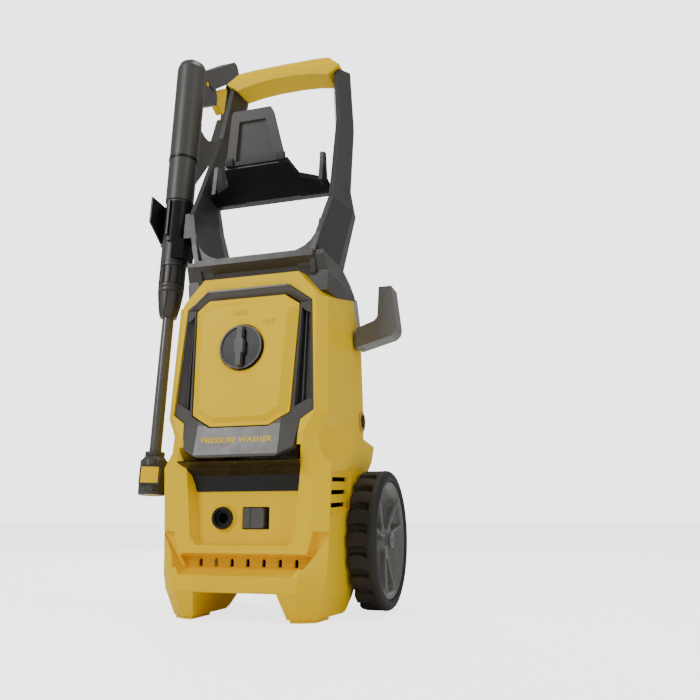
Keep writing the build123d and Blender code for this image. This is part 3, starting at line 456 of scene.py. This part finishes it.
# the rest is drawn for the right and mirrored: corner, uprights, slopes and the floor of a slot
sides = [
    flat([(60.7, 444.3), (94.3, 419.8), (91.9, 418.4), (60.1, 441.6)], 0.0),
    [(60.1, 441.6, 1.2), (91.9, 418.4, 1.2), (79.8, 417.0, 9.0), (58.4, 431.0, 9.0)],
    flat([(91.9, 418.4), (94.3, 419.8), (95.3, 401.0), (86.5, 405.0), (81.6, 410.0),
          (79.4, 410.0), (79.8, 417.0)], 0.4),
    flat([(95.3, 401.0), (101.2, 282.4), (99.0, 282.4), (93.4, 401.9)], 0.2),
    flat([(79.4, 410.0), (81.6, 410.0), (76.4, 271.6), (73.2, 271.6)], 0.6),
    [(86.9, 404.8, 11.0), (93.4, 401.9, 2.0), (99.0, 282.4, 2.0), (85.6, 277.0, 11.0)],
    flat([(85.7, 405.4), (86.9, 404.8), (85.6, 277.0), (84.2, 276.1)], 6.0),
]
floor_of_slot = flat([(81.6, 410.0), (85.7, 405.4), (84.2, 276.1), (76.4, 271.6)], 14.5)

bezel = bmesh.new()
deep = bmesh.new()
for outline in (chin, top_edge, top_slope):
    raised(bezel, outline)
for outline in sides:
    raised(bezel, outline)
    raised(bezel, mirrored(outline))
raised(deep, floor_of_slot)
raised(deep, mirrored(floor_of_slot))
piece("bezel_face", bezel, ["bezel"], "machine", "bezel_grey", 0.55)
piece("bezel_slots", deep, [], "machine", "gloss_black")


# ---------------------------------------------------------------- lettering
def lettering(name, words, place, height_mm, lift_mm, slot_name, lean, width=1.0):
    """Raised letters on the front, standing on a plane that leans back by the given angle."""
    curve = bpy.data.curves.new(name, "FONT")
    curve.body = words
    curve.size = height_mm / 1000 * 1.42
    curve.extrude = lift_mm / 1000
    curve.bevel_depth = 0.00012
    curve.bevel_resolution = 1
    curve.align_x = "CENTER"
    curve.align_y = "CENTER"
    obj = bpy.data.objects.new(name + "_text", curve)
    bpy.context.collection.objects.link(obj)
    obj.rotation_euler = (math.pi / 2 - lean, 0, 0)
    obj.location = [c / 1000 for c in place]
    obj.scale = (width, 1, 1)
    bpy.context.view_layer.update()
    solid = bpy.data.meshes.new_from_object(obj)
    solid.transform(obj.matrix_world)
    bpy.data.objects.remove(obj)
    made = bpy.data.objects.new(name, solid)
    bpy.context.collection.objects.link(made)
    solid.materials.clear()
    solid.materials.append(looks[slot_name])
    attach(made, "machine")


def panel_y(z):
    """Raised face of the centre panel."""
    return PANEL_MIDDLE[1] - PANEL_LIFT - (PANEL_MIDDLE[2] - z) * math.tan(PANEL_LEAN)


lettering("mark_off", "OFF/0", (-5.4, panel_y(405.5), 405.5), 6.8, 1.0, "yellow_shell", PANEL_LEAN)
lettering("mark_on", "ON/I", (37.8, panel_y(390.5), 390.5), 6.8, 1.0, "yellow_shell", PANEL_LEAN)
lettering("chin_words", "PRESSURE WASHER", (0, bezel_y(0, 229), 229), 7.4, 0.35, "yellow_shell",
          math.atan2(10, 40), 1.12)


# ---------------------------------------------------------------- gun, lance and nozzle details
GUN_FOOT = Vector((-158.0, -84.2, 221.9))
GUN_TILT = Matrix.Rotation(-math.radians(4.12), 3, "X")


def gun_point(x, y, z):
    """Point given in the gun's own axes, with z along the barrel."""
    return GUN_FOOT + GUN_TILT @ Vector((x, y, z))


def turned(name, profile, node_names, body, slot_name, steps=240):
    """Ring made by turning a closed profile; each entry gives z and a radius at an angle."""
    builder = bmesh.new()
    rows = []
    for z, radius in profile:
        row = []
        for i in range(steps):
            angle = 2 * math.pi * i / steps
            r = radius(angle) if callable(radius) else radius
            row.append(gun_point(r * math.cos(angle), r * math.sin(angle), z))
        rows.append(row)
    rows.append(rows[0])
    grid_faces(builder, rows)
    bmesh.ops.remove_doubles(builder, verts=builder.verts, dist=0.001)
    obj = piece(name, builder, node_names, body, slot_name)
    smooth(obj)
    obj.data.set_sharp_from_angle(angle=math.radians(35))
    return obj


def blocks(low, high, count, width, shift=0.0):
    """Radius with evenly spaced raised blocks."""
    def radius(angle):
        phase = (angle * count / (2 * math.pi) + shift) % 1.0
        return low + (high - low) * (1 - ease(abs(phase - 0.5), width, width + 0.05))
    return radius


def petal(z):
    """Cone nut radius at a height: seven pointed flats between grooves."""
    share = (z - 206) / 40
    crest = 13.2 + 6.3 * share ** 0.72
    half = 0.36 * math.sqrt(max(0.0, (z - 210.5) / 36))

    def radius(angle):
        phase = (angle * 7 / (2 * math.pi) + 0.30) % 1.0 - 0.5
        return crest - 1.7 * ease(abs(phase), half, half + 0.035)
    return radius


# closed profiles along the barrel: height and radius
lug = blocks(17.2, 19.9, 11, 0.28)
COUPLER_PROFILE = [
    (253.0, 13.1), (253.0, 19.2), (253.8, 19.9), (256.2, 19.9), (256.8, 18.4), (258.2, 18.4),
    (258.6, lug), (286.0, lug), (286.3, 18.4), (287.4, 18.4), (287.6, 20.0), (293.0, 20.0),
    (293.2, 19.4), (293.2, 6.9), (281.2, 6.9), (281.0, 13.1)]
NUT_PROFILE = [(206.0, 8.7), (206.0, 12.6), (206.8, 13.2)]
NUT_PROFILE += [(z, petal(z)) for z in range(208, 245, 2)]
NUT_PROFILE += [
    (245.2, 18.0), (246.0, 19.4), (247.0, 19.6), (251.4, 19.6), (252.4, 19.0), (252.6, 12.6),
    (279.0, 12.6), (279.0, 4.1), (264.0, 4.1), (264.0, 8.7)]
notch = blocks(18.3, 19.4, 9, 0.36, 0.2)
base_notch = blocks(17.4, 18.8, 9, 0.30, 0.1)
SLEEVE_PROFILE = [
    (-6.0, 12.5), (-6.0, 13.6), (-7.0, 14.4), (-11.0, 17.4), (-12.6, notch), (-20.0, notch),
    (-20.6, 18.6), (-21.6, 19.5), (-46.0, 19.5), (-47.0, 18.8), (-48.0, base_notch),
    (-56.0, base_notch), (-57.0, 18.6), (-60.2, 18.6), (-61.0, 17.8), (-61.0, 10.1),
    (-44.5, 10.1), (-44.5, 12.5)]
turned("coupler_ring", COUPLER_PROFILE, ["gun_coupler"], "gun", "gun_grey")
turned("petal_nut", NUT_PROFILE, ["cone_nut"], "lance", "gun_grey", 336)
turned("nozzle_sleeve", SLEEVE_PROFILE, ["nozzle_collar"], "nozzle", "gun_grey", 288)


def pad(name, turn, slot_name, outline, inner, reach):
    """Pad on the nozzle; the outline is half its width, its foot and its top along the barrel.

    inner and reach are the distances of its back and its face from the axis; reach may be a
    function of the place across and along.
    """
    builder = bmesh.new()
    across = 24
    half, low, high = outline
    levels = [low + (high - low) * k / 60 for k in range(61)]
    rows_out = []
    rows_in = []
    for z in levels:
        row_out = []
        row_in = []
        for k in range(across + 1):
            side = -half + 2 * half * k / across
            face = reach(side, z) if callable(reach) else reach
            axis = Vector((math.cos(turn), math.sin(turn)))
            cross = Vector((-axis.y, axis.x))
            out = axis * face + cross * side
            back = axis * inner + cross * side
            row_out.append(gun_point(out.x, out.y, z))
            row_in.append(gun_point(back.x, back.y, z))
        rows_out.append(row_out)
        rows_in.append(row_in)
    outer = grid_faces(builder, rows_out, False)
    inside = grid_faces(builder, rows_in, False)
    for upper, lower in ((outer[0], inside[0]), (outer[-1], inside[-1]),
                         ([row[0] for row in outer], [row[0] for row in inside]),
                         ([row[-1] for row in outer], [row[-1] for row in inside])):
        for i in range(len(upper) - 1):
            builder.faces.new((upper[i], upper[i + 1], lower[i + 1], lower[i]))
    return piece(name, builder, [], "nozzle", slot_name)


PAD_TURN = math.radians(-72)
BLOCK_FACE, PAD_FACE, GROOVE = 19.7, 20.6, 0.35


def pad_reach(side, z):
    """Yellow pad face with five shallow grooves across it."""
    wave = math.sin((z + 45) / 22 * 2 * math.pi * 5)
    inside = (1 - ease(abs(side), 9.6, 10.6)) * ease(z, -44.5, -43) * (1 - ease(z, -25, -23.5))
    return PAD_FACE - GROOVE * inside * (0.5 + 0.5 * wave)


pad("nozzle_block", PAD_TURN, "gun_grey", (14.4, -47.6, -21.4), 8.0, BLOCK_FACE)
pad("nozzle_pad", PAD_TURN, "yellow_shell", (12.2, -45.4, -23.4), 15.0, pad_reach)


# ---------------------------------------------------------------- floor, light and camera
# how bright the floor looks to the camera, on top of the light that falls on it
PAPER = 2.4


def soft_white(name, colour, rough):
    """Matt studio white with a barely visible unevenness."""
    material, tree, principled, coords = shader(name)
    cloud = remap(tree, noise(tree, coords, 1.4, 2.0), 0, 1)
    dark = tuple(c * 0.985 for c in colour)
    tree.links.new(blend(tree, cloud, dark, colour), principled.inputs["Base Color"])
    principled.inputs["Roughness"].default_value = rough
    principled.inputs["Specular IOR Level"].default_value = 0.1
    principled.inputs["Emission Color"].default_value = (1, 1, 1, 1)
    seen = tree.nodes.new("ShaderNodeLightPath").outputs["Is Camera Ray"]
    tree.links.new(remap(tree, seen, 0.0, PAPER, 0.0, 1.0),
                   principled.inputs["Emission Strength"])
    return material


def stage_floor():
    """Wide pale floor that runs off to the horizon."""
    mesh = bpy.data.meshes.new("floor")
    far = 40.0
    mesh.from_pydata([(-far, -far, 0), (far, -far, 0), (far, far, 0), (-far, far, 0)], [],
                     [(0, 1, 2, 3)])
    floor = bpy.data.objects.new("floor", mesh)
    bpy.context.collection.objects.link(floor)
    mesh.materials.append(soft_white("studio_floor", (0.93, 0.93, 0.93), 0.55))


def area_light(name, place, target, size, power, colour=(1, 1, 1)):
    """Soft box aimed at a point."""
    data = bpy.data.lights.new(name, "AREA")
    data.shape = "RECTANGLE"
    data.size, data.size_y = size
    data.energy = power
    data.color = colour
    lamp = bpy.data.objects.new(name, data)
    bpy.context.collection.objects.link(lamp)
    lamp.location = place
    aim = Vector(target) - Vector(place)
    lamp.rotation_euler = aim.to_track_quat("-Z", "Y").to_euler()


stage_floor()
area_light("key_left", (-1.5, -2.4, 2.0), (0, 0, 0.45), (1.0, 1.6), 47)
area_light("fill_right", (2.4, -1.2, 1.4), (0, 0, 0.45), (0.9, 1.8), 14)
area_light("top_strip", (0.2, 0.2, 2.6), (0, 0, 0.4), (1.8, 0.8), 24)
area_light("rim_back", (-1.2, 1.8, 1.4), (0, 0, 0.6), (0.8, 1.6), 12)

world = bpy.data.worlds.new("studio")
bpy.context.scene.world = world
world.use_nodes = True
backdrop = world.node_tree.nodes["Background"]
backdrop.inputs["Color"].default_value = (1, 1, 1, 1)
seen_direct = world.node_tree.nodes.new("ShaderNodeLightPath").outputs["Is Camera Ray"]
world.node_tree.links.new(remap(world.node_tree, seen_direct, 0.37, PAPER + 0.8, 0.0, 1.0),
                          backdrop.inputs["Strength"])

CAMERA_AT = (0.4356, -1.0354, 0.1258)
CAMERA_TURN = math.radians(17.39)
CAMERA_TILT = math.radians(12.90)

camera_data = bpy.data.cameras.new("camera")
camera_data.lens = 38.30
camera_data.sensor_width = 36.0
camera = bpy.data.objects.new("camera", camera_data)
bpy.context.collection.objects.link(camera)
camera.location = CAMERA_AT
camera.rotation_euler = (math.pi / 2 + CAMERA_TILT, 0, CAMERA_TURN)
bpy.context.scene.camera = camera
